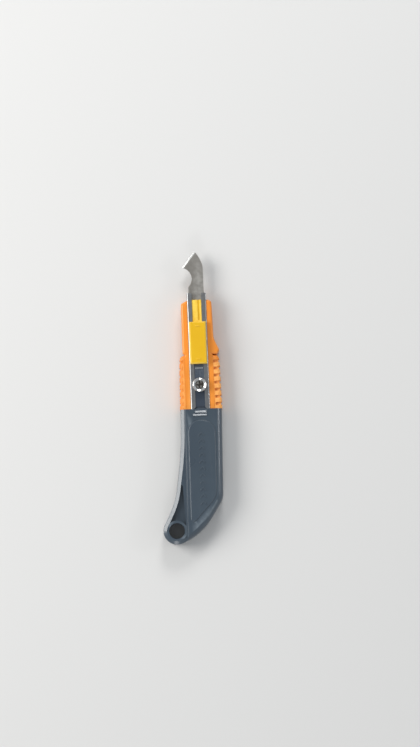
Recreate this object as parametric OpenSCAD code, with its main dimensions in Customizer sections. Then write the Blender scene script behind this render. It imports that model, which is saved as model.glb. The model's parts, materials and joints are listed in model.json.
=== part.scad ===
// Utility knife with a hooked scoring blade.
// +Y runs along the knife towards the blade, +Z is up through the lock screw, and +X is the finger-guard side.
// The origin is on the flat back, on the blade channel's centre line and under the lock screw's axis.

/* [Grip] */
// Length of the rear grip, from the seam to the end of the tail
rear_len = 78.4; // [65:0.1:95]
// Length of the front grip, from the seam to its front end
front_len = 64; // [54:0.5:78]
// Reach of the grip from the centre line to its left side, at the seam
grip_left = 11.4; // [9.6:0.1:14]
// Reach of the grip from the centre line to its right side, at the seam
grip_right = 12.8; // [10.7:0.1:16]
// Length of the side pads, from the seam to the finger notches
pad_len = 31.8; // [26:0.1:38.2]
// Thickness of the rear grip
rear_h = 14; // [13.4:0.1:17]
// Thickness of the front grip
front_h = 11.7; // [11.1:0.1:12.2]
// Height of the parting line between the two rear shells
split_z = 6.8; // [5.6:0.1:8]
// Wall of the rear shells
shell_wall = 2; // [1.4:0.1:2.4]
// Width of the bevel round the top of the rear grip
bevel_w = 2.9; // [2:0.1:3.4]
// Width of the slope between the crease and the shelf
shelf_slope = 0.8; // [0.6:0.1:3]
// Height of the lowered shelf left of the crease
shelf_z = 12.7; // [12:0.1:13.2]
// Width of the slope round the shelf's outer edge
band_w = 2.1; // [1.6:0.1:2.8]
// Fall of that slope
band_drop = 1.1; // [0.8:0.1:1.6]

/* [Tail] */
// Distance of the lanyard hole from the centre line
tail_out = 16.4; // [13:0.1:19]
// Radius of the rounded tail
tail_r = 7.9; // [7:0.1:9.4]
// Radius of the lanyard hole
lanyard_r = 4.6; // [3:0.1:5.2]
// Width of the rim and the ring that stand up round the pocket
rim_w = 2.3; // [1.6:0.1:2.8]
// Depth of the thumb pocket above the tail
pocket_d = 3; // [1.5:0.1:4]

/* [Blade] */
// Width of the blade's shank
blade_w = 9; // [7.5:0.1:9.5]
// Thickness of the blade
blade_t = 0.6; // [0.4:0.05:0.8]
// Length of the blade
blade_len = 60; // [55:0.5:70]
// How far the blade stands out of the channel
blade_out = 25; // [20:0.5:30]
// How far the hook's point reaches past the shank
hook_reach = 3.5; // [2:0.1:5]
// Depth of the hook's point below the blade's apex
hook_drop = 9.6; // [8:0.1:12]
// Width of the ground face on the hook
ground_w = 1.1; // [0.6:0.1:1.8]
// Radius of the gullet behind the hook
gullet_r = 6.6; // [5:0.1:7.5]

/* [Channel] */
// Outer width of the steel channel
channel_w = 11.2; // [10.8:0.1:13.5]
// Sheet thickness of the channel
sheet = 0.7; // [0.5:0.05:0.9]
// Height inside the channel
channel_h = 3.6; // [3.5:0.05:4]
// Width of the slot between the folded lips
slot_w = 5.6; // [5.2:0.1:6.4]
// Height of the channel's underside
channel_z = 7.3; // [6.8:0.1:7.6]
// How far the channel stands out of the front grip
channel_out = 4; // [3:0.5:8]

/* [Slider] */
// Length of the thumb block
block_len = 24.6; // [20:0.1:27]
// Width of the thumb block
block_w = 9.8; // [8:0.1:10.8]
// Height of the thumb block above the lips
block_h = 3.8; // [2.5:0.1:6]
// Gap from the lock screw's axis to the thumb block
screw_to_block = 12.3; // [7:0.1:14]
// Travel of the slider towards the tail
travel_back = 8.5; // [5:0.1:11]
// Travel of the slider towards the blade
travel_out = 4; // [2:0.1:6]

/* [Lock screw] */
// Radius of the screw's shank
screw_r = 2; // [1.5:0.1:2.2]
// Radius of the screw's head
head_r = 4.1; // [3.4:0.1:4.6]
// Height of the screw's head
head_h = 2.7; // [1.8:0.1:4]
// Width of the square clamp nut
nut_w = 7; // [5.5:0.1:7.6]
// Thickness of the square clamp nut
nut_t = 2.2; // [1.6:0.1:2.3]
// Gap left between the lock screw and the rear grip at the end of the travel
seam_gap = 1.4; // [0.6:0.1:2.4]

/* [Hidden] */
$fn = 48;

slate = "#4a545d";
orange = "#f39a35";
yellow = "#efb61e";
steel = "#b4b2ae";
chrome = "#d8d8d6";

face_gap = 0.05;   // between faces that slide on each other
part_gap = 0.1;    // round parts that are set into a pocket
swing = 0.3;       // where one piece passes another freely

// Heights
floor_z = channel_z + sheet;
lip_z = floor_z + channel_h;
channel_top = lip_z + sheet;
blade_z = floor_z + face_gap;
blade_top = blade_z + blade_t;

// Places along the knife
seam_y = -travel_back - head_r - seam_gap;
front_y = seam_y + front_len;
channel_front = front_y + channel_out;
blade_tip_y = channel_front + blade_out;
blade_rear_y = blade_tip_y - blade_len;
block_rear_y = screw_to_block;
block_front_y = screw_to_block + block_len;

// Carrier and its stop
tail_lift = 0.5;                                      // carrier's tail above the channel's floor
tail_z = floor_z + tail_lift;
plate_t = 1.1;                                        // carrier plate over the blade
plate_z = blade_top + plate_t;
guide_w = channel_w - 2 * sheet - 4 * face_gap;       // what runs under the lips
web_w = slot_w - 4 * face_gap;                        // what runs in the slot
under_lip = lip_z - 2 * face_gap;
spring_len = 10;
spring_t = 0.25;
spring_bow = 0.55;
spring_top = blade_z + spring_bow + spring_t;         // roof of the spring's pocket
spring_radius = (spring_len * spring_len / 4 + spring_bow * spring_bow) / (2 * spring_bow);
spring_rivet_r = 0.8;
nut_room = nut_w / 2 + part_gap;
spring_y = -nut_room - 1.5 - spring_len / 2;          // middle of the friction spring
pin_r = 1.25;
stop_y = spring_y - spring_len / 2 - 3 - travel_back - pin_r;
carrier_rear_y = stop_y - travel_out - pin_r - 3;
rivet_r = 1.1;
rivet_head_r = 1.8;
rivet_head_t = 0.3;
rivet_x = 2.8;
channel_rear_y = carrier_rear_y - travel_back - 3;
rivet_y = channel_rear_y + 5;
mouth_len = 1.2;                                      // flared end of the slot, in front of the seam
mouth_flare = 1.1;
blade_hole_r = 1.5;
blade_hole_y = blade_rear_y + 5;
peg_r = 1.2;
peg_y = [blade_hole_y - 4, blade_hole_y + 7];         // pegs that hold the thumb slider
washer_r = head_r - 0.3;
washer_t = 0.7;
washer_z = channel_top + face_gap;
head_z = washer_z + washer_t;
nut_z = tail_z - face_gap;
block_z = channel_top + 3 * face_gap;
block_top = block_z + block_h - 3 * face_gap;

// Core and shells
core_side = 1.35;                                     // rails beside the channel
core_half = channel_w / 2 + face_gap + core_side;
core_z = shell_wall + 1;
roof = 1.6;                                           // top wall of the rear grip
panel_sunk = 0.5;                                     // panel's seat in the rear grip
panel_proud = 0.4;
panel_slope = 0.5;                                    // width of the slope round its edge
rail_z = channel_z + 2.2;
deck_t = 1.8;                                         // core under the channel
core_front_y = front_y - 4;
core_rear_y = channel_rear_y - 3;
pad_x = core_half + 1.2;                              // side of the front shell behind the pads
notch_y = seam_y + pad_len;                           // top of the pads
front_left = pad_x + 1.1;
front_right = pad_x + 0.8;
boss_r = 3;
screw_hole_r = 1.15;
tapper_r = 1.1;
tapper_head_r = 2.3;
tapper_head_t = 1.3;
sink_r = tapper_head_r + part_gap;
sink_d = 1.5;
tail_c = [-tail_out, seam_y - rear_len + tail_r];     // lanyard hole's centre
crease_top = [-grip_left + 2.7, seam_y];
crease_low = [-tail_out + 7.1, tail_c.y + 4];
pocket_in = 1.7;                                      // from the crease to the pocket
crease_turn = atan2(crease_top.x - crease_low.x, crease_top.y - crease_low.y);
ring_r = lanyard_r + rim_w * 0.65;
post_bite = 3.5;                                      // screws' grip in the upper shell
post_at = [[grip_right - 7.6, core_rear_y - 6.5], [crease_low.x + 7, tail_c.y + 9]];
core_screw_y = [stop_y + 7, rivet_y - 4.2];
core_screw_at = [for (y = core_screw_y) [0, y]];
front_screw_at = [[0, core_front_y - 9], [0, seam_y + 22]];
over = 14;                                            // how far an outline runs past the seam
big = 400;

// ---- outlines ----

function unit(v) = v / norm(v);
function turn2(a, b) = a.x * b.y - a.y * b.x;
function flat(p) = [p.x, p.y];

// The corner at b of the path a, b, c, rounded to radius r by n + 1 points.
function corner(a, b, c, r, n) =
    r <= 0 ? [b] :
    let (
        u = unit(a - b),
        v = unit(c - b),
        half = acos(u * v) / 2,
        o = b + unit(u + v) * r / sin(half),
        p = b + u * r / tan(half) - o,
        start = atan2(p.y, p.x),
        sweep = (180 - 2 * half) * sign(turn2(-u, v))
    )
    [for (i = [0:n]) o + r * [cos(start + sweep * i / n), sin(start + sweep * i / n)]];

// The largest corner radius at b that leaves a rounded neighbour its half of the side between them.
function corner_limit(a, b, c) =
    let (
        u = flat(a - b),
        v = flat(c - b),
        room = min(norm(u) * (a.z > 0 ? 0.5 : 0.98), norm(v) * (c.z > 0 ? 0.5 : 0.98))
    )
    room * tan(acos(unit(u) * unit(v)) / 2);

// A closed path of [x, y, corner radius], with its corners rounded.
function rounded(path, n = 10) =
    let (m = len(path))
    [for (i = [0:m - 1])
        let (a = path[(i + m - 1) % m], b = path[i], c = path[(i + 1) % m])
        each corner(flat(a), flat(b), flat(c), b.z > 0 ? min(b.z, corner_limit(a, b, c)) : 0, n)];

function arc(c, r, from, to, n) =
    [for (i = [0:n]) let (a = from + (to - from) * i / n) c + r * [cos(a), sin(a)]];

// An arc of radius r from p to q that bulges to the right of the way from p to q.
function bulge(p, q, r, n) =
    let (
        d = q - p,
        o = (p + q) / 2 + unit([-d.y, d.x]) * sqrt(r * r - d * d / 4),
        a = atan2(p.y - o.y, p.x - o.x),
        b = atan2(q.y - o.y, q.x - o.x)
    )
    arc(o, r, a, b < a ? b + 360 : b, n);

// The angle at which a line from p touches the circle: the larger of the two for side 1, the smaller for -1.
function touch(p, c, r, side) =
    let (d = p - c)
    atan2(d.y, d.x) + side * acos(r / norm(d));

// A counter-clockwise outline moved inwards by d.
function inset(pts, d) =
    let (m = len(pts))
    [for (i = [0:m - 1])
        let (
            e = unit(pts[i] - pts[(i + m - 1) % m]),
            f = unit(pts[(i + 1) % m] - pts[i]),
            s = [-e.y - f.y, e.x + f.x]
        )
        pts[i] + d * s / (1 + e * f)];

// Levels for a rounded edge that ends at the height top, inset by run. It ends level for end = 90.
function round_over(top, drop, run, n = 6, end = 90) =
    [for (k = [0:n]) let (a = end * k / n)
        [top - drop * (1 - sin(a) / sin(end)), run * (1 - cos(a)) / (1 - cos(end))]];

// Levels for a rounded edge that starts at the height bottom, inset by run.
function round_under(bottom, rise, run, n = 4) =
    [for (k = [0:n]) let (a = 90 * k / n) [bottom + rise * (1 - cos(a)), run * (1 - sin(a))]];

// A solid whose outline is inset by levels[k][1] at the height levels[k][0]. Every point can be seen from eye.
module slab(pts, levels, eye) {
    m = len(pts);
    top = len(levels) - 1;
    low_eye = m * (top + 1);
    polyhedron(
        points = concat(
            [for (l = levels) each [for (p = inset(pts, l[1])) [p.x, p.y, l[0]]]],
            [[eye.x, eye.y, levels[0][0]], [eye.x, eye.y, levels[top][0]]]
        ),
        faces = concat(
            [for (k = [0:top - 1], i = [0:m - 1])
                [k * m + i, (k + 1) * m + i, (k + 1) * m + (i + 1) % m, k * m + (i + 1) % m]],
            [for (i = [0:m - 1]) [low_eye, i, (i + 1) % m]],
            [for (i = [0:m - 1]) [low_eye + 1, top * m + (i + 1) % m, top * m + i]]
        )
    );
}

// A box from corner a to corner b.
module block(a, b) {
    translate(a) cube(b - a);
}

// The same box for side 1, or its mirror image across the centre line for side -1.
module side_block(side, a, b) {
    block([min(side * a.x, side * b.x), a.y, a.z], [max(side * a.x, side * b.x), b.y, b.z]);
}

// ---- rear grip ----

function rear_outline() =
    let (
        waist = [-grip_left - 0.8, seam_y - 24],
        sweep = tail_c + [-0.3, 8.9 + tail_r],
        belly = tail_c + [2 * tail_r - 1.2, -2.6],
        heel = [grip_right - 1.5, tail_c.y + 17.9],
        from = touch(sweep, tail_c, tail_r, 1),
        to = touch(belly, tail_c, tail_r, -1) + 360
    )
    rounded(concat(
        [[-grip_left, seam_y + over, 0], [waist.x, waist.y, 180], [sweep.x, sweep.y, 45]],
        [for (p = arc(tail_c, tail_r, from, to, 28)) [p.x, p.y, 0]],
        [[belly.x, belly.y, 36], [heel.x, heel.y, 12], [grip_right, seam_y + over, 0]]
    ));

rear_eye = tail_c + [11, 13];

module seam_cut(gap = 0) {
    block([-big, seam_y - gap, -big], [big, big, big]);
}

module lanyard_hole() {
    translate([tail_c.x, tail_c.y, -1]) cylinder(h = rear_h + 2, r = lanyard_r);
}

// Everything above the shelf and its outer slope, left of the crease.
module shelf_cut() {
    above = 3;
    below = shelf_z - band_drop - 0.2;
    fall = shelf_slope / (rear_h - shelf_z);
    spread = band_w / band_drop;
    difference() {
        translate([crease_low.x, crease_low.y, 0]) rotate([0, 0, -crease_turn]) rotate([90, 0, 0])
            translate([0, 0, -rear_len]) linear_extrude(2 * rear_len) polygon([
                [fall * above, rear_h + above], [-fall * (rear_h - below), below],
                [-40, below], [-40, rear_h + above]
            ]);
        slab(rear_outline(), [[below - 0.2, -0.4 * spread], [shelf_z, band_w]], rear_eye);
    }
}

// The tear-shaped pocket between the rim, the crease and the ring round the lanyard hole.
module thumb_pocket() {
    tip = [tail_c.x + 4.2, tail_c.y + 28.5];
    difference() {
        intersection() {
            translate([0, 0, shelf_z - pocket_d]) linear_extrude(pocket_d + 1)
                polygon(inset(rear_outline(), rim_w));
            translate([0, 0, -1]) linear_extrude(rear_h + 2)
                polygon(rounded([
                    [tip.x, tip.y, 0.8],
                    [tail_c.x - tail_r, tail_c.y + 8, 0],
                    [tail_c.x - tail_r, tail_c.y - tail_r, 0],
                    [crease_low.x - pocket_in, tail_c.y - tail_r, 0],
                    [crease_low.x - pocket_in, crease_low.y, 3]
                ]));
        }
        translate([tail_c.x, tail_c.y, 0]) cylinder(h = rear_h, r = ring_r);
    }
}

// The room inside one rear shell, from z0 to z1, with the tail left solid.
module rear_room(z0, z1) {
    intersection() {
        translate([0, 0, z0]) linear_extrude(z1 - z0) polygon(inset(rear_outline(), shell_wall + 0.6));
        block([-core_half - swing, tail_c.y + 2, -1], [big, seam_y + 1, rear_h]);
    }
}

module posts(z0, z1) {
    for (p = post_at) translate([p.x, p.y, z0]) cylinder(h = z1 - z0, r = boss_r);
}

// A counterbored screw hole, from 1 mm below the back face.
module screw_well() {
    cylinder(h = rear_h, r = tapper_r + face_gap);
    cylinder(h = 1 + sink_d, r = sink_r);
}

module post_holes(r, z0, z1) {
    for (p = post_at) translate([p.x, p.y, z0]) cylinder(h = z1 - z0, r = r);
}

// Two low ribs across the top, over the channel's slot, that slope down towards the blade.
module thumb_stop() {
    rib_h = 0.55;
    slope = 1.1;
    for (rib = [[-3.2, 3.4, 1], [-4.4, 3.4, 2.8]])
        translate([rib[0], seam_y - rib[2], rear_h]) rotate([90, 0, 90]) linear_extrude(rib[1] - rib[0])
            polygon([
                [0, -0.1], [0, 0], [-slope, rib_h], [-slope - 0.2, rib_h],
                [-slope - 0.5, 0], [-slope - 0.5, -0.1]
            ]);
}

// The raised panel on the top.
function panel_outline() =
    let (
        left = crease_top.x + 0.9,
        right = grip_right - 4.3,
        top = seam_y - 6.3
    )
    rounded([
        [left, top, 7.4],
        [left - 0.3, tail_c.y + 5.4, 1.4],
        [left + 2, tail_c.y + 4.6, 4],
        [right - 0.9, tail_c.y + 18.9, 9],
        [right, top, 7.8]
    ]);

// A column of arrows on the panel that point at the blade.
module chevrons() {
    arm = 1.6;
    pitch = 4;
    first = seam_y - 15;
    room = first - (tail_c.y + 14);
    for (i = [0:floor(room / pitch)])
        translate([-0.2, first - i * pitch, rear_h]) linear_extrude(panel_proud + 0.25)
            polygon([[-arm, 0], [-arm, -0.9], [0, arm - 0.9], [arm, -0.9], [arm, 0], [0, arm]]);
}

module rear_grip_upper() {
    color(slate) {
        difference() {
            slab(rear_outline(), concat([[split_z, 0]], round_over(rear_h, 3.3, bevel_w, 6, 62)), rear_eye);
            difference() {
                rear_room(split_z - 1, rear_h - roof);
                posts(0, rear_h);
            }
            shelf_cut();
            translate([0, 0, rear_h - panel_sunk]) linear_extrude(2) polygon(inset(panel_outline(), -face_gap));
            thumb_pocket();
            lanyard_hole();
            seam_cut();
            post_holes(screw_hole_r, split_z - 1, split_z + post_bite + 0.5);
        }
        thumb_stop();
    }
}

module panel_inlay() {
    color(slate) {
        slab(
            panel_outline(),
            [[rear_h - panel_sunk, 0], [rear_h + 0.05, 0], [rear_h + panel_proud, panel_slope]],
            [0, seam_y - 30]
        );
        chevrons();
    }
}

module rear_grip_lower() {
    color(slate) difference() {
        slab(rear_outline(), concat(round_under(0, 1.6, 1.5), [[split_z, 0]]), rear_eye);
        difference() {
            rear_room(shell_wall, split_z + 1);
            posts(0, rear_h);
            for (y = core_screw_y) translate([0, y, 0]) cylinder(h = core_z, r = sink_r + 1);
        }
        lanyard_hole();
        seam_cut();
        for (p = concat(post_at, core_screw_at)) translate([p.x, p.y, -1]) screw_well();
    }
}

// ---- front grip ----

function front_outline() = rounded([
    [-front_left + 0.05, front_y - 2.1, 1.4],
    [-front_left, notch_y + 1.3, 1.4],
    [-pad_x, notch_y, 0],
    [-pad_x - 4, notch_y - 6, 0],
    [-pad_x - 4, seam_y - over, 0],
    [pad_x + 4, seam_y - over, 0],
    [pad_x + 4, notch_y - 6, 0],
    [pad_x, notch_y, 0],
    [front_right + 1.8, notch_y, 1.4],
    [front_right + 3.3, notch_y + 2.6, 1.6],
    [front_right + 0.15, notch_y + 9.4, 9],
    [front_right - 0.3, front_y, 2.4],
    [-5.4, front_y, 2]
], 7);

front_eye = [0, notch_y + 6];

module front_grip_shell() {
    color(orange) difference() {
        slab(front_outline(), concat(round_under(0, 1.2, 1.2), round_over(front_h, 1.5, 1.3)), front_eye);
        // room for the core
        block([-core_half - face_gap, seam_y - big, core_z - face_gap],
              [core_half + face_gap, core_front_y + part_gap, rail_z + face_gap]);
        // groove for the channel
        block([-channel_w / 2 - face_gap, seam_y - big, channel_z - face_gap],
              [channel_w / 2 + face_gap, front_y + 5, front_h + 5]);
        // tongues of the pads
        for (side = [-1, 1])
            side_block(side, [core_half - 1, seam_y + 4 - part_gap, 4 - part_gap],
                [pad_x + 1, notch_y - 6 + part_gap, 6.4 + part_gap]);
        // the pads' places, and the end at the seam
        for (side = [-1, 1])
            side_block(side, [pad_x, seam_y - 20, -1], [pad_x + 20, notch_y + 0.2, front_h + 1]);
        block([-pad_x - 20, seam_y - 20, -1], [pad_x + 20, seam_y, front_h + 1]);
        for (p = front_screw_at) translate([p.x, p.y, -1]) screw_well();
    }
}

pad_top = front_h - 0.1;
pad_levels = concat(round_under(0.5, 1.2, 1.3), round_over(pad_top, 2.2, 2));
groove_pitch = 4.15;
groove_w = 1.7;
groove_n = 7;

// The mirror image of a path, still counter-clockwise.
function mirrored(path) = [for (i = [len(path) - 1:-1:0]) [-path[i].x, path[i].y, path[i].z]];

// One side pad. It starts past the seam and behind the shell's side, and is cut off there.
// Its grooves are groove_d deep in the side, top_d deep in the top, and reach groove_reach in from the side.
module grip_pad(side, reach, groove_d, top_d, groove_reach) {
    low = [reach, seam_y - 6];
    high = [reach - 0.8, notch_y - 3];
    path = [
        [pad_x - 5, notch_y - 0.3, 0],
        [pad_x - 5, low.y, 0],
        [low.x, low.y, 0],
        [high.x, high.y, 3],
        [high.x - 1.1, notch_y - 0.3, 2.3]
    ];
    lean = atan2(low.x - high.x, high.y - low.y);
    color(orange) {
        difference() {
            slab(rounded(side > 0 ? path : mirrored(path)), pad_levels, [side * (pad_x - 1.5), 0]);
            side_block(side, [-5, seam_y - 10, -1], [pad_x + face_gap, notch_y + 5, 20]);
            block([-30, seam_y - 10, -1], [30, seam_y + face_gap, 20]);
            translate([side * low.x, low.y, 0]) rotate([0, 0, side * lean]) for (i = [0:groove_n - 1]) {
                y = seam_y - low.y + 3 + i * groove_pitch;
                side_block(side, [-groove_d, y - groove_w / 2, -1], [5, y + groove_w / 2, 20]);
                side_block(side, [-groove_reach, y - groove_w / 2, pad_top - top_d], [5, y + groove_w / 2, 20]);
            }
        }
        side_block(side, [core_half, seam_y + 4, 4], [pad_x + 0.5, notch_y - 6, 6.4]);
    }
}

module grip_pad_right() {
    grip_pad(1, grip_right + 0.1, 0.7, 1.2, 3.7);
}

module grip_pad_left() {
    grip_pad(-1, grip_left + 0.7, 0.4, 0.5, 2.2);
}

// ---- core, channel and what holds them ----

module core_frame() {
    rib = 1.6;
    bay = 12;
    bays = floor((core_front_y - core_rear_y - rib) / (bay + rib));
    bay_room = (core_front_y - core_rear_y - rib) / bays;
    color(slate) difference() {
        block([-core_half, core_rear_y, core_z], [core_half, core_front_y, rail_z]);
        block([-channel_w / 2 - face_gap, core_rear_y - 1, channel_z],
              [channel_w / 2 + face_gap, core_front_y + 1, big]);
        // bays under the deck, with a spine down the middle
        for (i = [0:bays - 1], side = [-1, 1])
            side_block(side, [boss_r, core_rear_y + rib + i * bay_room, core_z - 1],
                  [core_half - rib, core_rear_y + (i + 1) * bay_room, channel_z - deck_t]);
        for (p = concat(core_screw_at, front_screw_at))
            translate([p.x, p.y, core_z - 1]) cylinder(h = channel_z - core_z + 0.6, r = screw_hole_r);
        translate([0, stop_y, core_z + 1]) cylinder(h = big, r = pin_r + face_gap);
        for (x = [-rivet_x, rivet_x]) translate([x, rivet_y, core_z - 1]) {
            cylinder(h = big, r = rivet_r + face_gap);
            cylinder(h = channel_z - deck_t - core_z + 1, r = rivet_head_r + part_gap);
        }
    }
}

// The channel's section: outer corners rounded, slot of half width s between the lips.
module channel_section(s) {
    bend = 0.7;
    half = channel_w / 2;
    height = channel_top - channel_z;
    difference() {
        union() {
            translate([-half, bend]) square([channel_w, height - 2 * bend]);
            translate([-half + bend, 0]) square([channel_w - 2 * bend, height]);
            for (x = [-half + bend, half - bend], z = [bend, height - bend])
                translate([x, z]) circle(r = bend);
        }
        translate([-half + sheet, sheet]) square([channel_w - 2 * sheet, channel_h]);
        translate([-s, sheet + channel_h / 2]) square([2 * s, height]);
    }
}

module blade_channel() {
    mouth_y = seam_y + mouth_len;
    color(steel) difference() {
        translate([0, channel_front, channel_z]) rotate([90, 0, 0])
            linear_extrude(channel_front - channel_rear_y) channel_section(slot_w / 2);
        // flared rear end of the slot
        translate([0, 0, lip_z - 0.1]) linear_extrude(sheet + 1) polygon([
            [-slot_w / 2, mouth_y], [-slot_w / 2 - mouth_flare, mouth_y - mouth_len],
            [-slot_w / 2 - mouth_flare, channel_rear_y - 1], [slot_w / 2 + mouth_flare, channel_rear_y - 1],
            [slot_w / 2 + mouth_flare, mouth_y - mouth_len], [slot_w / 2, mouth_y]
        ]);
        translate([0, stop_y, channel_z - 1]) cylinder(h = 3, r = pin_r + face_gap);
        for (x = [-rivet_x, rivet_x])
            translate([x, rivet_y, channel_z - 1]) cylinder(h = 3, r = rivet_r + face_gap);
    }
}

module channel_rivets() {
    tail = channel_z - deck_t;
    color(steel) for (x = [-rivet_x, rivet_x]) translate([x, rivet_y, 0]) {
        translate([0, 0, tail]) cylinder(h = floor_z - tail, r = rivet_r);
        translate([0, 0, floor_z]) cylinder(h = rivet_head_t, r = rivet_head_r);
        translate([0, 0, tail - 0.8]) cylinder(h = 0.8, r = rivet_head_r);
    }
}

module stop_pin() {
    color(steel) translate([0, stop_y, core_z + 1.2]) cylinder(h = tail_z + 1.1 - core_z - 1.2, r = pin_r);
}

// A cross-headed screw that points up, with its head sunk in its well.
module tapper(tip_z) {
    foot = sink_d - tapper_head_t;
    translate([0, 0, foot]) difference() {
        union() {
            cylinder(h = tip_z - foot, r = tapper_r);
            cylinder(h = tapper_head_t, r = tapper_head_r);
        }
        for (a = [0, 90]) rotate([0, 0, a]) block([-1.4, -0.3, -1], [1.4, 0.3, 0.7]);
    }
}

module rear_screws() {
    color(steel) {
        for (p = post_at) translate([p.x, p.y, 0]) tapper(split_z + post_bite);
        for (p = core_screw_at) translate([p.x, p.y, 0]) tapper(channel_z - 0.8);
    }
}

module front_screws() {
    color(steel) for (p = front_screw_at) translate([p.x, p.y, 0]) tapper(channel_z - 0.8);
}

// ---- slider ----

module hook_blade() {
    left = -blade_w / 2;
    apex = [left + 4.2, blade_tip_y];
    point = [left - hook_reach, blade_tip_y - hook_drop];
    nose = [blade_w / 2, blade_tip_y - hook_drop - 0.6];
    lead = 82;                                            // direction from the gullet's centre to the point
    hub = point - gullet_r * [cos(lead), sin(lead)];
    end = -acos((left - hub.x) / gullet_r);
    edge = unit(point - apex);
    color(steel) difference() {
        translate([0, 0, blade_z]) linear_extrude(blade_t) polygon(concat(
            arc(hub, gullet_r, lead, end, 16),
            [[left, blade_rear_y], [blade_w / 2, blade_rear_y]],
            bulge(nose, apex, 20, 8)
        ));
        // ground face along the leading edge
        translate([apex.x, apex.y, blade_top]) rotate([0, 0, atan2(edge.y, edge.x)])
            rotate([90, 0, 90]) translate([0, 0, -5]) linear_extrude(30)
                polygon([[ground_w, 0], [-ground_w, 2 * (0.1 - blade_t)], [-ground_w, 1], [ground_w, 1]]);
        translate([0, blade_hole_y, blade_z - 1]) cylinder(h = 3, r = blade_hole_r);
    }
}

module slide_carrier() {
    half = guide_w / 2;
    plate_front = front_y - 3;
    shoulder_y = blade_rear_y - face_gap;
    slot_low = stop_y - travel_out - pin_r;
    slot_high = stop_y + travel_back + pin_r;
    rib_end = seam_y + mouth_len + 0.1;
    color(slate) {
        difference() {
            union() {
                block([-half, shoulder_y, blade_top], [half, plate_front, plate_z]);
                block([-half, block_rear_y, blade_z + face_gap], [half, shoulder_y, plate_z]);
                block([-half, carrier_rear_y, tail_z], [half, block_rear_y, under_lip]);
                block([-web_w / 2, rib_end, under_lip - 1],
                      [web_w / 2, block_rear_y, channel_top - 4 * face_gap]);
                for (y = peg_y)
                    translate([0, y, blade_top]) cylinder(h = under_lip - blade_top - 0.5, r = peg_r);
            }
            translate([0, blade_hole_y, 0]) cylinder(h = big, r = blade_hole_r);
            // pocket of the clamp nut
            block([-nut_room, -nut_room, -big], [nut_room, nut_room, nut_z + nut_t + face_gap]);
            cylinder(h = big, r = screw_r + 0.2);
            // pocket of the friction spring
            block([-3.2, spring_y - spring_len / 2 - 0.4, -big],
                  [3.2, spring_y + spring_len / 2 + 0.4, spring_top]);
            translate([0, spring_y, 0]) cylinder(h = under_lip - 0.6, r = spring_rivet_r + face_gap);
            // slot over the stop pin
            for (y = [slot_low, slot_high])
                translate([0, y + (y < stop_y ? pin_r : -pin_r), 0])
                    cylinder(h = tail_z + 1.4, r = pin_r + part_gap);
            block([-pin_r - part_gap, slot_low + pin_r, -big],
                  [pin_r + part_gap, slot_high - pin_r, tail_z + 1.4]);
        }
        // a row of grip pips on the visible end
        for (x = [-1.8, -0.6, 0.6, 1.8])
            block([x - 0.35, block_rear_y - 2.6, channel_top - 0.5],
                  [x + 0.35, block_rear_y - 2.1, channel_top + 0.1]);
    }
}

module thumb_slider() {
    half = guide_w / 2;
    rear = block_rear_y + part_gap;
    color(yellow) difference() {
        union() {
            block([-half, rear, plate_z], [half, front_y, under_lip]);
            block([-web_w / 2, rear, under_lip - 0.5], [web_w / 2, front_y, channel_top - 8 * face_gap]);
            block([-web_w / 2, rear, under_lip], [web_w / 2, block_front_y, block_z + 1]);
            difference() {
                block([-block_w / 2, block_rear_y, block_z], [block_w / 2, block_front_y, block_top]);
                for (x = [-1, 1]) translate([x * block_w / 2, 0, block_top]) rotate([0, 45, 0])
                    cube([0.9, big, 0.9], center = true);
                for (y = [block_rear_y, block_front_y]) translate([0, y, block_top]) rotate([45, 0, 0])
                    cube([big, 0.9, 0.9], center = true);
            }
            // raised grips near both ends
            for (y = [block_rear_y + 2.6, block_front_y - 2.6]) {
                block([-0.9, y - 0.35, block_top - 0.2], [0.9, y + 0.35, block_top + 0.25]);
                for (x = [-0.9, 0.9]) translate([x, y, block_top - 0.2]) cylinder(h = 0.45, r = 0.35);
            }
        }
        // groove along the nose
        block([0.5, block_front_y + 1, channel_top - 14 * face_gap], [1.6, front_y + 1, channel_top]);
        for (y = peg_y)
            translate([0, y, plate_z - 1]) cylinder(h = under_lip - plate_z + 1, r = peg_r + face_gap);
    }
}

// A bowed leaf that presses the carrier up against the lips.
module friction_spring() {
    r = spring_radius;
    sweep = asin(spring_len / 2 / r);
    hub = [spring_y, spring_top - r];
    color(steel) difference() {
        translate([-2.6, 0, 0]) rotate([90, 0, 90]) linear_extrude(5.2) polygon(concat(
            arc(hub, r, 90 - sweep, 90 + sweep, 12),
            arc(hub, r - spring_t, 90 + sweep, 90 - sweep, 12)
        ));
        translate([0, spring_y, spring_top - 2]) cylinder(h = 3, r = spring_rivet_r + face_gap);
    }
}

module spring_rivet() {
    head_r = 1.5;
    sag = head_r * head_r / spring_radius;                // room for the leaf's curve over the head
    head_z = spring_top - spring_t - sag;
    color(steel) translate([0, spring_y, 0]) {
        translate([0, 0, head_z]) cylinder(h = under_lip - 0.7 - head_z, r = spring_rivet_r);
        translate([0, 0, head_z - 0.2]) cylinder(h = 0.2, r = head_r);
    }
}

// The pin that pulls the blade, pressed into the carrier.
module blade_pin() {
    color(steel) translate([0, blade_hole_y, blade_z + face_gap])
        cylinder(h = plate_z - blade_z - 2 * face_gap, r = blade_hole_r - face_gap / 2);
}

module clamp_nut() {
    color(steel) difference() {
        block([-nut_w / 2, -nut_w / 2, nut_z], [nut_w / 2, nut_w / 2, nut_z + nut_t]);
        translate([0, 0, nut_z - 1]) cylinder(h = nut_t + 2, r = screw_r + face_gap);
    }
}

// ---- lock screw ----

module lock_washer() {
    color(chrome) difference() {
        translate([0, 0, washer_z]) cylinder(h = washer_t, r = washer_r);
        translate([0, 0, washer_z - 1]) cylinder(h = washer_t + 2, r = screw_r + 0.2);
    }
}

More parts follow.
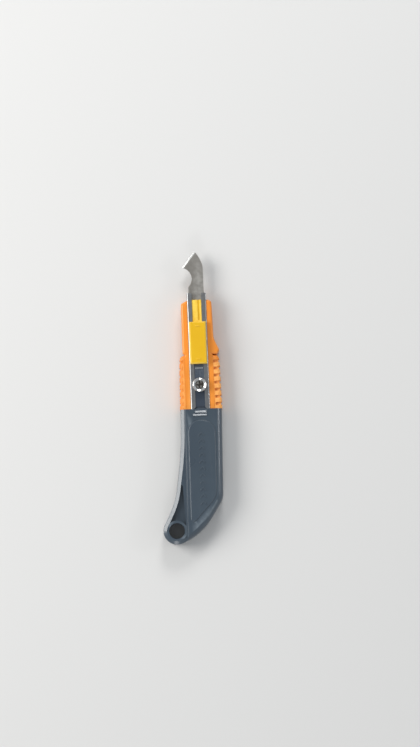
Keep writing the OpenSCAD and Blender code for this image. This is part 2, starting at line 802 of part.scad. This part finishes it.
module lock_screw() {
    rim = 0.5;                     // rounding of the head's edge
    dish = 0.6;                    // hollow inside the head's ring
    dish_r = head_r - 1.7;         // flat middle of the hollow
    recess = 1.3;
    top_z = head_z + head_h;
    tip_z = floor_z + 0.25;
    color(chrome) difference() {
        union() {
            translate([0, 0, head_z]) rotate_extrude() difference() {
                union() {
                    square([head_r, head_h - rim]);
                    square([head_r - rim, head_h]);
                    translate([head_r - rim, head_h - rim]) circle(r = rim);
                }
                translate([-20, -1]) square([20, 20]);
            }
            translate([0, 0, tip_z]) cylinder(h = head_z - tip_z + 0.5, r = screw_r);
        }
        translate([0, 0, top_z - dish]) cylinder(h = 2 * dish, r1 = dish_r, r2 = dish_r + 4 * dish);
        for (a = [0, 90]) rotate([0, 0, a])
            block([-2, -0.5, top_z - dish - recess], [2, 0.5, top_z + 1]);
    }
}

rear_grip_upper();
rear_grip_lower();
panel_inlay();
front_grip_shell();
grip_pad_right();
grip_pad_left();
core_frame();
blade_channel();
channel_rivets();
stop_pin();
rear_screws();
front_screws();
hook_blade();
slide_carrier();
thumb_slider();
blade_pin();
friction_spring();
spring_rivet();
clamp_nut();
lock_washer();
lock_screw();
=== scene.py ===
import json
import math

import bmesh
import bpy
from mathutils import Matrix, Vector


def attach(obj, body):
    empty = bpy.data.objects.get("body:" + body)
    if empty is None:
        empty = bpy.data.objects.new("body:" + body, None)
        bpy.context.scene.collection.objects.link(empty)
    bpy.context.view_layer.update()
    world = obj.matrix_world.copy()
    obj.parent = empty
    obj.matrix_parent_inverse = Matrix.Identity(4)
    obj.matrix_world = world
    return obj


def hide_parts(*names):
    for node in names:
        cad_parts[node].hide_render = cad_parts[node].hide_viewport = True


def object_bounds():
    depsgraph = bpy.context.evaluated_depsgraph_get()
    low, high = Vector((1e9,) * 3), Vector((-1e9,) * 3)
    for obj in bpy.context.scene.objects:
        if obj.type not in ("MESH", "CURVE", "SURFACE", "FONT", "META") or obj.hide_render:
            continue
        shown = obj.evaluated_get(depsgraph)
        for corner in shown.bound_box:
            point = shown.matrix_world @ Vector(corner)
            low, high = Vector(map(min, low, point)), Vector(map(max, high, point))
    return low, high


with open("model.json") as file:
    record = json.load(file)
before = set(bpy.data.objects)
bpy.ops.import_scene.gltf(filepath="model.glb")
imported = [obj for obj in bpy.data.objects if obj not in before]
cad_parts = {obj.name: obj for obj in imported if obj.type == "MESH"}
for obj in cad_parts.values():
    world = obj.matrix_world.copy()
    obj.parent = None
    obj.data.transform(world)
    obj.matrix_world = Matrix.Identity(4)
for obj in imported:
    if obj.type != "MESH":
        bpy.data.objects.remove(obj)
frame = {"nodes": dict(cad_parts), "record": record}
cadBox = [list(corner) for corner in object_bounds()]
mm = 0.001

cameraSettings = {
    "lookAt": (6.3 * mm, 6.8 * mm, 8 * mm),  # point in the middle of the picture
    "pictureHeight": 437 * mm,               # what the picture covers at that point
    "distance": 1.7,
    "tilt": 4.0,                             # degrees off straight down, towards the tail
    "lean": -2.2,                            # degrees the knife leans in the picture
    "sensor": 36.0,
    "clipEnd": 10,
}


def makeCamera(settings):
    data = bpy.data.cameras.new("mainCamera")
    data.sensor_fit = "VERTICAL"
    data.sensor_height = settings["sensor"]
    data.lens = settings["sensor"] * settings["distance"] / settings["pictureHeight"]
    data.clip_end = settings["clipEnd"]
    camera = bpy.data.objects.new("mainCamera", data)
    turn = Matrix.Rotation(math.radians(settings["lean"]), 4, "Z")
    nod = Matrix.Rotation(math.radians(settings["tilt"]), 4, "X")
    back = Matrix.Translation((0, 0, settings["distance"]))
    camera.matrix_world = Matrix.Translation(settings["lookAt"]) @ turn @ nod @ back
    bpy.context.scene.collection.objects.link(camera)
    bpy.context.scene.camera = camera


makeCamera(cameraSettings)
print("camera placed")

studio = {
    "floorColor": (0.60, 0.595, 0.585, 1),
    "floorRoughness": 0.9,
    "floorReach": 1.5,   # metres from the middle to an edge
    "worldColor": (0.92, 0.96, 1.0, 1),
    # the sky's strength changes between two heights; flat glossy faces mirror the upper part
    "sky": {"From Min": 0.35, "From Max": 0.95, "To Min": 0.75, "To Max": 0.36},
    "lights": {
        "keyLight": {"at": (-0.93, 0.24, 0.80), "size": 0.70, "power": 13, "color": (1.0, 0.985, 0.96)},
        "rimLight": {"at": (1.00, 0.05, 0.58), "size": 0.14, "power": 0.9, "color": (0.95, 0.97, 1.0)},
        "frontLight": {"at": (0.15, 1.00, 0.75), "size": 0.36, "power": 6.0, "color": (1.0, 1.0, 1.0)},
        "tailLight": {"at": (-0.10, -1.00, 0.70), "size": 0.30, "power": 1.6, "color": (1.0, 1.0, 1.0)},
    },
}


def setInputs(node, values):
    for label, value in values.items():
        node.inputs[label].default_value = value


def makeFloor(settings):
    mesh = bpy.data.meshes.new("studioFloor")
    bm = bmesh.new()
    bmesh.ops.create_grid(bm, x_segments=1, y_segments=1, size=settings["floorReach"])
    bmesh.ops.translate(bm, verts=bm.verts, vec=(0, 0, cadBox[0][2]))
    bm.to_mesh(mesh)
    bm.free()
    floor = bpy.data.objects.new("studioFloor", mesh)
    material = bpy.data.materials.new("floorPaint")
    material.use_nodes = True
    paint = {"Base Color": settings["floorColor"], "Roughness": settings["floorRoughness"]}
    setInputs(material.node_tree.nodes["Principled BSDF"], paint)
    mesh.materials.append(material)
    bpy.context.scene.collection.objects.link(floor)


def makeLights(settings):
    world = bpy.data.worlds.new("studioWorld")
    world.use_nodes = True
    nodes, link = world.node_tree.nodes, world.node_tree.links.new
    background = nodes["Background"]
    background.inputs["Color"].default_value = settings["worldColor"]
    place = nodes.new("ShaderNodeTexCoord")
    split = nodes.new("ShaderNodeSeparateXYZ")
    sky = nodes.new("ShaderNodeMapRange")
    sky.interpolation_type = "SMOOTHSTEP"
    setInputs(sky, settings["sky"])
    link(place.outputs["Generated"], split.inputs["Vector"])
    link(split.outputs["Z"], sky.inputs["Value"])
    link(sky.outputs["Result"], background.inputs["Strength"])
    bpy.context.scene.world = world
    for name, lamp in settings["lights"].items():
        data = bpy.data.lights.new(name, "AREA")
        data.shape = "SQUARE"
        data.size = lamp["size"]
        data.energy = lamp["power"]
        data.color = lamp["color"]
        light = bpy.data.objects.new(name, data)
        light.location = lamp["at"]
        light.rotation_euler = (-Vector(lamp["at"])).to_track_quat("-Z", "Y").to_euler()
        bpy.context.scene.collection.objects.link(light)


makeFloor(studio)
makeLights(studio)
bpy.context.scene.view_settings.view_transform = "Standard"
print("floor and lights ready")


def newGroup(name, inputs, outputs):
    group = bpy.data.node_groups.new(name, "ShaderNodeTree")
    for label, value in inputs.items():
        kind = "NodeSocketVector" if isinstance(value, tuple) else "NodeSocketFloat"
        socket = group.interface.new_socket(name=label, in_out="INPUT", socket_type=kind)
        socket.default_value = value
    for label in outputs:
        group.interface.new_socket(name=label, in_out="OUTPUT", socket_type="NodeSocketFloat")
    entry = group.nodes.new("NodeGroupInput")
    leave = group.nodes.new("NodeGroupOutput")
    return group, entry, leave


def addNoise(group, place, scale, values):
    # a noise texture at the place socket, its scale fed by the scale socket if there is one
    noise = group.nodes.new("ShaderNodeTexNoise")
    setInputs(noise, values)
    group.links.new(place, noise.inputs["Vector"])
    if scale is not None:
        group.links.new(scale, noise.inputs["Scale"])
    return noise.outputs["Fac"]


def makeMouldedSkin():
    # fine mould grain, slow flow marks and small scuffs of a moulded plastic
    group, entry, leave = newGroup(
        "mouldedSkin",
        {"Grain Scale": 4000.0, "Flow Scale": 60.0, "Scuff Scale": 500.0, "Scuff Amount": 0.5},
        ["Grain", "Flow", "Scuff"],
    )
    nodes, link = group.nodes, group.links.new
    place = nodes.new("ShaderNodeTexCoord").outputs["Object"]
    link(addNoise(group, place, entry.outputs["Grain Scale"], {"Detail": 4}), leave.inputs["Grain"])
    flow = addNoise(group, place, entry.outputs["Flow Scale"], {"Detail": 2, "Distortion": 0.6})
    link(flow, leave.inputs["Flow"])
    turn = nodes.new("ShaderNodeMapping")
    setInputs(turn, {"Rotation": (0.2, 0.1, 0.5), "Scale": (1.0, 0.06, 1.0)})
    link(place, turn.inputs["Vector"])
    scuff = addNoise(
        group, turn.outputs["Vector"], entry.outputs["Scuff Scale"], {"Detail": 5, "Roughness": 0.7}
    )
    pick = nodes.new("ShaderNodeMapRange")
    setInputs(pick, {"From Min": 0.56, "From Max": 0.72})
    link(scuff, pick.inputs["Value"])
    link(entry.outputs["Scuff Amount"], pick.inputs["To Max"])
    link(pick.outputs["Result"], leave.inputs["Scuff"])
    return group


def makeEdgeRub():
    # where corners are rubbed: high on convex edges, broken up by noise
    group, entry, leave = newGroup("edgeRub", {"Start": 0.53, "End": 0.62, "Break Scale": 700.0}, ["Rub"])
    nodes, link = group.nodes, group.links.new
    geometry = nodes.new("ShaderNodeNewGeometry")
    ramp = nodes.new("ShaderNodeMapRange")
    link(geometry.outputs["Pointiness"], ramp.inputs["Value"])
    link(entry.outputs["Start"], ramp.inputs["From Min"])
    link(entry.outputs["End"], ramp.inputs["From Max"])
    place = nodes.new("ShaderNodeTexCoord").outputs["Object"]
    speck = addNoise(group, place, entry.outputs["Break Scale"], {"Detail": 3})
    product = nodes.new("ShaderNodeMath")
    product.operation = "MULTIPLY"
    product.use_clamp = True
    link(ramp.outputs["Result"], product.inputs[0])
    link(speck, product.inputs[1])
    link(product.outputs["Value"], leave.inputs["Rub"])
    return group


def makeBrushedLines():
    # drawn or ground lines: noise stretched by the Stretch vector, with broad patches
    group, entry, leave = newGroup(
        "brushedLines", {"Stretch": (6000.0, 80.0, 6000.0), "Patch Scale": 90.0}, ["Lines", "Patch"]
    )
    nodes, link = group.nodes, group.links.new
    place = nodes.new("ShaderNodeTexCoord").outputs["Object"]
    pull = nodes.new("ShaderNodeVectorMath")
    pull.operation = "MULTIPLY"
    link(place, pull.inputs[0])
    link(entry.outputs["Stretch"], pull.inputs[1])
    lines = addNoise(group, pull.outputs["Vector"], None, {"Scale": 1.0, "Detail": 3, "Roughness": 0.65})
    link(lines, leave.inputs["Lines"])
    patch = addNoise(group, place, entry.outputs["Patch Scale"], {"Detail": 3})
    link(patch, leave.inputs["Patch"])
    return group


mouldedSkin = makeMouldedSkin()
edgeRub = makeEdgeRub()
brushedLines = makeBrushedLines()
print("shader groups ready")


def linearColor(red, green, blue):
    # what the shader takes for a colour given as 0 to 255
    def channel(value):
        value = value / 255
        return value / 12.92 if value <= 0.04045 else ((value + 0.055) / 1.055) ** 2.4

    return (channel(red), channel(green), channel(blue), 1)


def colorMix(nodes, link, factor, first, second):
    mix = nodes.new("ShaderNodeMix")
    mix.data_type = "RGBA"
    for socket, value in ((mix.inputs["A"], first), (mix.inputs["B"], second)):
        if isinstance(value, tuple):
            socket.default_value = value
        else:
            link(value, socket)
    link(factor, mix.inputs["Factor"])
    return mix.outputs["Result"]


def valueRange(nodes, link, value, low, high):
    ramp = nodes.new("ShaderNodeMapRange")
    setInputs(ramp, {"To Min": low, "To Max": high})
    link(value, ramp.inputs["Value"])
    return ramp.outputs["Result"]


def placeGroup(nodes, group, values):
    node = nodes.new("ShaderNodeGroup")
    node.node_tree = group
    setInputs(node, values)
    return node


def startMaterial(name):
    material = bpy.data.materials.new(name)
    material.use_nodes = True
    tree = material.node_tree
    return material, tree.nodes, tree.links.new, tree.nodes["Principled BSDF"]


def addColor(nodes, link, shader, look, blend):
    # the look's two colours mixed by blend, with its rubbed colour on worn corners
    rub = placeGroup(nodes, edgeRub, look["rub"])
    color = colorMix(nodes, link, blend, look["dark"], look["light"])
    color = colorMix(nodes, link, rub.outputs["Rub"], color, look["rubbed"])
    link(color, shader.inputs["Base Color"])


def addBump(nodes, link, shader, look, height):
    bump = nodes.new("ShaderNodeBump")
    setInputs(bump, {"Strength": look["bump"], "Distance": look["depth"]})
    link(height, bump.inputs["Height"])
    link(bump.outputs["Normal"], shader.inputs["Normal"])


def makePlastic(name, look):
    material, nodes, link, shader = startMaterial(name)
    skin = placeGroup(nodes, mouldedSkin, look["skin"])
    addColor(nodes, link, shader, look, skin.outputs["Flow"])
    rough = nodes.new("ShaderNodeMath")
    rough.operation = "ADD"
    rough.use_clamp = True
    link(valueRange(nodes, link, skin.outputs["Flow"], *look["roughness"]), rough.inputs[0])
    link(skin.outputs["Scuff"], rough.inputs[1])
    link(rough.outputs["Value"], shader.inputs["Roughness"])
    addBump(nodes, link, shader, look, skin.outputs["Grain"])
    setInputs(shader, look["shader"])
    return material


def makeMetal(name, look):
    material, nodes, link, shader = startMaterial(name)
    setInputs(shader, look["shader"])
    lines = placeGroup(nodes, brushedLines, look["lines"])
    addColor(nodes, link, shader, look, lines.outputs["Patch"])
    link(valueRange(nodes, link, lines.outputs["Lines"], *look["roughness"]), shader.inputs["Roughness"])
    addBump(nodes, link, shader, look, lines.outputs["Lines"])
    return material


plasticLooks = {
    "slateGloss": {
        "dark": linearColor(50, 61, 72), "light": linearColor(62, 74, 84),
        "rubbed": linearColor(112, 122, 130),
        "skin": {"Grain Scale": 1500.0, "Flow Scale": 45.0, "Scuff Scale": 420.0, "Scuff Amount": 0.22},
        "rub": {"Start": 0.54, "End": 0.66, "Break Scale": 600.0},
        "roughness": (0.24, 0.34), "bump": 0.12, "depth": 0.00003,
        "shader": {"IOR": 1.5, "Coat Weight": 0.35, "Coat Roughness": 0.12},
    },
    "orangeSatin": {
        "dark": linearColor(217, 124, 32), "light": linearColor(229, 141, 45),
        "rubbed": linearColor(252, 196, 118),
        "skin": {"Grain Scale": 3200.0, "Flow Scale": 55.0, "Scuff Scale": 500.0, "Scuff Amount": 0.15},
        "rub": {"Start": 0.54, "End": 0.66, "Break Scale": 700.0},
        "roughness": (0.34, 0.46), "bump": 0.25, "depth": 0.00003,
        "shader": {"IOR": 1.48, "Coat Weight": 0.15, "Coat Roughness": 0.25},
    },
    "orangeElastomer": {
        "dark": linearColor(214, 121, 32), "light": linearColor(226, 137, 43),
        "rubbed": linearColor(250, 188, 110),
        "skin": {"Grain Scale": 5200.0, "Flow Scale": 70.0, "Scuff Scale": 650.0, "Scuff Amount": 0.2},
        "rub": {"Start": 0.54, "End": 0.68, "Break Scale": 900.0},
        "roughness": (0.46, 0.58), "bump": 0.45, "depth": 0.00005,
        "shader": {"IOR": 1.46, "Coat Weight": 0.0, "Coat Roughness": 0.3},
    },
    "yellowAcetal": {
        "dark": linearColor(206, 158, 4), "light": linearColor(216, 171, 12),
        "rubbed": linearColor(250, 216, 100),
        "skin": {"Grain Scale": 3600.0, "Flow Scale": 80.0, "Scuff Scale": 600.0, "Scuff Amount": 0.14},
        "rub": {"Start": 0.54, "End": 0.66, "Break Scale": 800.0},
        "roughness": (0.3, 0.42), "bump": 0.2, "depth": 0.00003,
        "shader": {"IOR": 1.48, "Coat Weight": 0.12, "Coat Roughness": 0.2},
    },
    "darkNylon": {
        "dark": linearColor(30, 40, 54), "light": linearColor(42, 53, 68),
        "rubbed": linearColor(92, 102, 114),
        "skin": {"Grain Scale": 4200.0, "Flow Scale": 90.0, "Scuff Scale": 700.0, "Scuff Amount": 0.25},
        "rub": {"Start": 0.54, "End": 0.66, "Break Scale": 900.0},
        "roughness": (0.36, 0.5), "bump": 0.35, "depth": 0.00004,
        "shader": {"IOR": 1.5, "Coat Weight": 0.1, "Coat Roughness": 0.3},
    },
    # painted highlight: light grey on the tops of the grip pips
    "paintedHighlightNylon": {
        "dark": linearColor(150, 158, 166), "light": linearColor(196, 202, 208),
        "rubbed": linearColor(228, 232, 234),
        "skin": {"Grain Scale": 4200.0, "Flow Scale": 90.0, "Scuff Scale": 700.0, "Scuff Amount": 0.25},
        "rub": {"Start": 0.54, "End": 0.66, "Break Scale": 900.0},
        "roughness": (0.36, 0.5), "bump": 0.35, "depth": 0.00004,
        "shader": {"IOR": 1.5, "Coat Weight": 0.1, "Coat Roughness": 0.3},
    },
}

metalLooks = {
    "channelSheet": {
        "dark": linearColor(124, 125, 126), "light": linearColor(158, 158, 158),
        "rubbed": linearColor(196, 197, 198),
        "lines": {"Stretch": (7000.0, 90.0, 7000.0), "Patch Scale": 110.0},
        "rub": {"Start": 0.52, "End": 0.58, "Break Scale": 500.0},
        "roughness": (0.22, 0.4), "bump": 0.2, "depth": 0.00002,
        "shader": {"Metallic": 1.0},
    },
    "bladeSteel": {
        "dark": linearColor(142, 137, 130), "light": linearColor(158, 153, 146),
        "rubbed": linearColor(215, 212, 206),
        "lines": {"Stretch": (5200.0, 120.0, 5200.0), "Patch Scale": 130.0},
        "rub": {"Start": 0.52, "End": 0.6, "Break Scale": 500.0},
        "roughness": (0.3, 0.48), "bump": 0.25, "depth": 0.00002,
        "shader": {"Metallic": 0.95},
    },
    # the hook's ground face: near-white, partly its own ground finish, partly a painted highlight
    "groundEdgeSheen": {
        "dark": linearColor(222, 221, 217), "light": linearColor(244, 243, 240),
        "rubbed": linearColor(255, 255, 252),
        "lines": {"Stretch": (1400.0, 9000.0, 1400.0), "Patch Scale": 300.0},
        "rub": {"Start": 0.52, "End": 0.6, "Break Scale": 500.0},
        "roughness": (0.2, 0.36), "bump": 0.2, "depth": 0.00001,
        "shader": {"Metallic": 0.9},
    },
    "chromePlate": {
        "dark": linearColor(196, 197, 197), "light": linearColor(226, 226, 224),
        "rubbed": linearColor(245, 245, 243),
        "lines": {"Stretch": (1200.0, 1200.0, 1200.0), "Patch Scale": 220.0},
        "rub": {"Start": 0.53, "End": 0.62, "Break Scale": 500.0},
        "roughness": (0.08, 0.2), "bump": 0.05, "depth": 0.00002,
        "shader": {"Metallic": 1.0},
    },
    "zincPlate": {
        "dark": linearColor(150, 152, 154), "light": linearColor(184, 186, 188),
        "rubbed": linearColor(222, 222, 220),
        "lines": {"Stretch": (2600.0, 2600.0, 2600.0), "Patch Scale": 260.0},
        "rub": {"Start": 0.53, "End": 0.62, "Break Scale": 500.0},
        "roughness": (0.28, 0.45), "bump": 0.15, "depth": 0.00002,
        "shader": {"Metallic": 1.0},
    },
    # painted shade: dark metal for the hollow and cross recess of the screw's head
    "paintedShadeMetal": {
        "dark": linearColor(58, 54, 50), "light": linearColor(98, 92, 86),
        "rubbed": linearColor(190, 188, 184),
        "lines": {"Stretch": (900.0, 900.0, 900.0), "Patch Scale": 700.0},
        "rub": {"Start": 0.53, "End": 0.62, "Break Scale": 500.0},
        "roughness": (0.25, 0.5), "bump": 0.3, "depth": 0.00003,
        "shader": {"Metallic": 0.9},
    },
    "springSteel": {
        "dark": linearColor(112, 118, 130), "light": linearColor(150, 152, 158),
        "rubbed": linearColor(205, 205, 205),
        "lines": {"Stretch": (6000.0, 300.0, 6000.0), "Patch Scale": 200.0},
        "rub": {"Start": 0.53, "End": 0.62, "Break Scale": 500.0},
        "roughness": (0.24, 0.4), "bump": 0.15, "depth": 0.00002,
        "shader": {"Metallic": 1.0},
    },
}

finishes = {name: makePlastic(name, look) for name, look in plasticLooks.items()}
finishes.update({name: makeMetal(name, look) for name, look in metalLooks.items()})
print("materials ready:", len(finishes))


def bodyOf(node):
    bodies = frame["record"]["behaviour"]["bodies"]
    return next(body for body, members in bodies.items() if node in members)


meshSettings = {
    "mergeDistance": 0.002 * mm,
    "flatAngle": 0.5,    # degrees below which neighbouring faces count as one flat area
    "shadeAngle": 35,    # degrees above which an edge stays sharp in the shading
}


def mergedCopy(node):
    # a copy of the node's mesh with its loose triangles joined and its flat areas made whole
    bm = bmesh.new()
    bm.from_mesh(frame["nodes"][node].data)
    bmesh.ops.remove_doubles(bm, verts=bm.verts, dist=meshSettings["mergeDistance"])
    flatAngle = math.radians(meshSettings["flatAngle"])
    bmesh.ops.dissolve_limit(bm, angle_limit=flatAngle, verts=bm.verts, edges=bm.edges)
    return bm


def cornerEdges(bm, angle):
    limit = math.radians(angle)
    return [e for e in bm.edges if len(e.link_faces) == 2 and e.calc_face_angle(0) > limit]


def softenCorners(bm, width, segments, angle):
    bmesh.ops.bevel(
        bm, geom=cornerEdges(bm, angle), offset=width, offset_type="OFFSET", segments=segments,
        profile=0.5, affect="EDGES", clamp_overlap=True, loop_slide=True, material=-1,
    )


def shadeSmooth(bm):
    limit = math.radians(meshSettings["shadeAngle"])
    for face in bm.faces:
        face.smooth = True
    for edge in bm.edges:
        edge.smooth = len(edge.link_faces) == 2 and edge.calc_face_angle(0) < limit


def paintFaces(bm, test):
    # gives the faces that pass the test the piece's second material: painted shade in the screw's recess,
    # a painted highlight on the pip tops, and on the hook's ground face its own finish with a painted
    # highlight
    for face in bm.faces:
        if test(face.normal, face.calc_center_median()):
            face.material_index = 1


def addPiece(bm, name, node, materials):
    mesh = bpy.data.meshes.new(name)
    bm.to_mesh(mesh)
    bm.free()
    for material in materials:
        mesh.materials.append(finishes[material])
    piece = bpy.data.objects.new(name, mesh)
    bpy.context.scene.collection.objects.link(piece)
    piece.modifiers.new("evenShading", "WEIGHTED_NORMAL").keep_sharp = True
    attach(piece, bodyOf(node))
    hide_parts(node)


# soften is the width of a rounded corner in mm, and angle the least turn in degrees that counts as one
pieceSettings = {
    "rear_grip_upper": {
        "name": "rearGripUpper", "finish": ["slateGloss"],
        "soften": 0.25, "segments": 3, "angle": 19,
    },
    "rear_grip_lower": {
        "name": "rearGripLower", "finish": ["slateGloss"],
        "soften": 0.25, "segments": 3, "angle": 28,
    },
    "panel_inlay": {
        "name": "panelInlay", "finish": ["slateGloss"],
        "soften": 0.13, "segments": 2, "angle": 24,
    },
    "front_grip_shell": {
        "name": "frontGripShell", "finish": ["orangeSatin"],
        "soften": 0.25, "segments": 3, "angle": 28,
    },
    "grip_pad_right": {
        "name": "gripPadRight", "finish": ["orangeElastomer"],
        "soften": 0.3, "segments": 3, "angle": 28,
    },
    "grip_pad_left": {
        "name": "gripPadLeft", "finish": ["orangeElastomer"],
        "soften": 0.3, "segments": 3, "angle": 28,
    },
    "core_frame": {
        "name": "coreFrame", "finish": ["darkNylon"],
        "soften": 0.15, "segments": 2, "angle": 28,
    },
    "blade_channel": {
        "name": "bladeChannel", "finish": ["channelSheet"],
        "soften": 0.08, "segments": 2, "angle": 28,
    },
    "channel_rivets": {
        "name": "channelRivets", "finish": ["zincPlate"],
        "soften": 0.1, "segments": 2, "angle": 28,
    },
    "stop_pin": {
        "name": "stopPin", "finish": ["zincPlate"],
        "soften": 0.15, "segments": 2, "angle": 28,
    },
    "rear_screws": {
        "name": "rearScrews", "finish": ["zincPlate"],
        "soften": 0.08, "segments": 2, "angle": 28,
    },
    "front_screws": {
        "name": "frontScrews", "finish": ["zincPlate"],
        "soften": 0.08, "segments": 2, "angle": 28,
    },
    "hook_blade": {
        "name": "hookBlade", "finish": ["bladeSteel", "groundEdgeSheen"],
        "soften": 0.03, "segments": 1, "angle": 60,
    },
    "slide_carrier": {
        "name": "slideCarrier", "finish": ["darkNylon", "paintedHighlightNylon"],
        "soften": 0.12, "segments": 2, "angle": 28,
    },
    "thumb_slider": {
        "name": "thumbSlider", "finish": ["yellowAcetal"],
        "soften": 0.2, "segments": 3, "angle": 28,
    },
    "blade_pin": {
        "name": "bladePin", "finish": ["zincPlate"],
        "soften": 0.1, "segments": 2, "angle": 28,
    },
    "friction_spring": {
        "name": "frictionSpring", "finish": ["springSteel"],
        "soften": 0.04, "segments": 2, "angle": 28,
    },
    "spring_rivet": {
        "name": "springRivet", "finish": ["zincPlate"],
        "soften": 0.06, "segments": 2, "angle": 28,
    },
    "clamp_nut": {
        "name": "clampNut", "finish": ["zincPlate"],
        "soften": 0.2, "segments": 2, "angle": 28,
    },
    "lock_washer": {
        "name": "lockWasher", "finish": ["chromePlate"],
        "soften": 0.12, "segments": 3, "angle": 28,
    },
    "lock_screw": {
        "name": "lockScrew", "finish": ["chromePlate", "paintedShadeMetal"],
        "soften": 0.1, "segments": 2, "angle": 28,
    },
}

secondFinishAndPaintedLight = {
    "recessRadius": 2.6 * mm,       # the hollow and the cross recess of the screw's head, coloured dark metal as painted shade
    "recessAbove": 12 * mm,
    "recessUpward": 0.2,            # least upward part of a face's normal
    "pipHighlightAbove": 12.35 * mm,        # the grip pip tops, coloured light grey as a painted highlight
    "pipHighlightUpward": 0.9,
    "groundUpward": (0.5, 0.99),    # the tilted face along the hook, coloured near-white: its own ground finish and a painted highlight
}


def isShadedRecess(normal, center):
    inside = math.hypot(center.x, center.y) < secondFinishAndPaintedLight["recessRadius"]
    return inside and center.z > secondFinishAndPaintedLight["recessAbove"] and normal.z > secondFinishAndPaintedLight["recessUpward"]


def isPipHighlight(normal, center):
    return normal.z > secondFinishAndPaintedLight["pipHighlightUpward"] and center.z > secondFinishAndPaintedLight["pipHighlightAbove"]


def isGroundFace(normal, center):
    low, high = secondFinishAndPaintedLight["groundUpward"]
    return low < normal.z < high


paintTests = {"lock_screw": isShadedRecess, "slide_carrier": isPipHighlight, "hook_blade": isGroundFace}

for node, settings in pieceSettings.items():
    bm = mergedCopy(node)
    if node in paintTests:
        paintFaces(bm, paintTests[node])
    softenCorners(bm, settings["soften"] * mm, settings["segments"], settings["angle"])
    shadeSmooth(bm)
    addPiece(bm, settings["name"], node, settings["finish"])
    print("piece finished:", settings["name"])
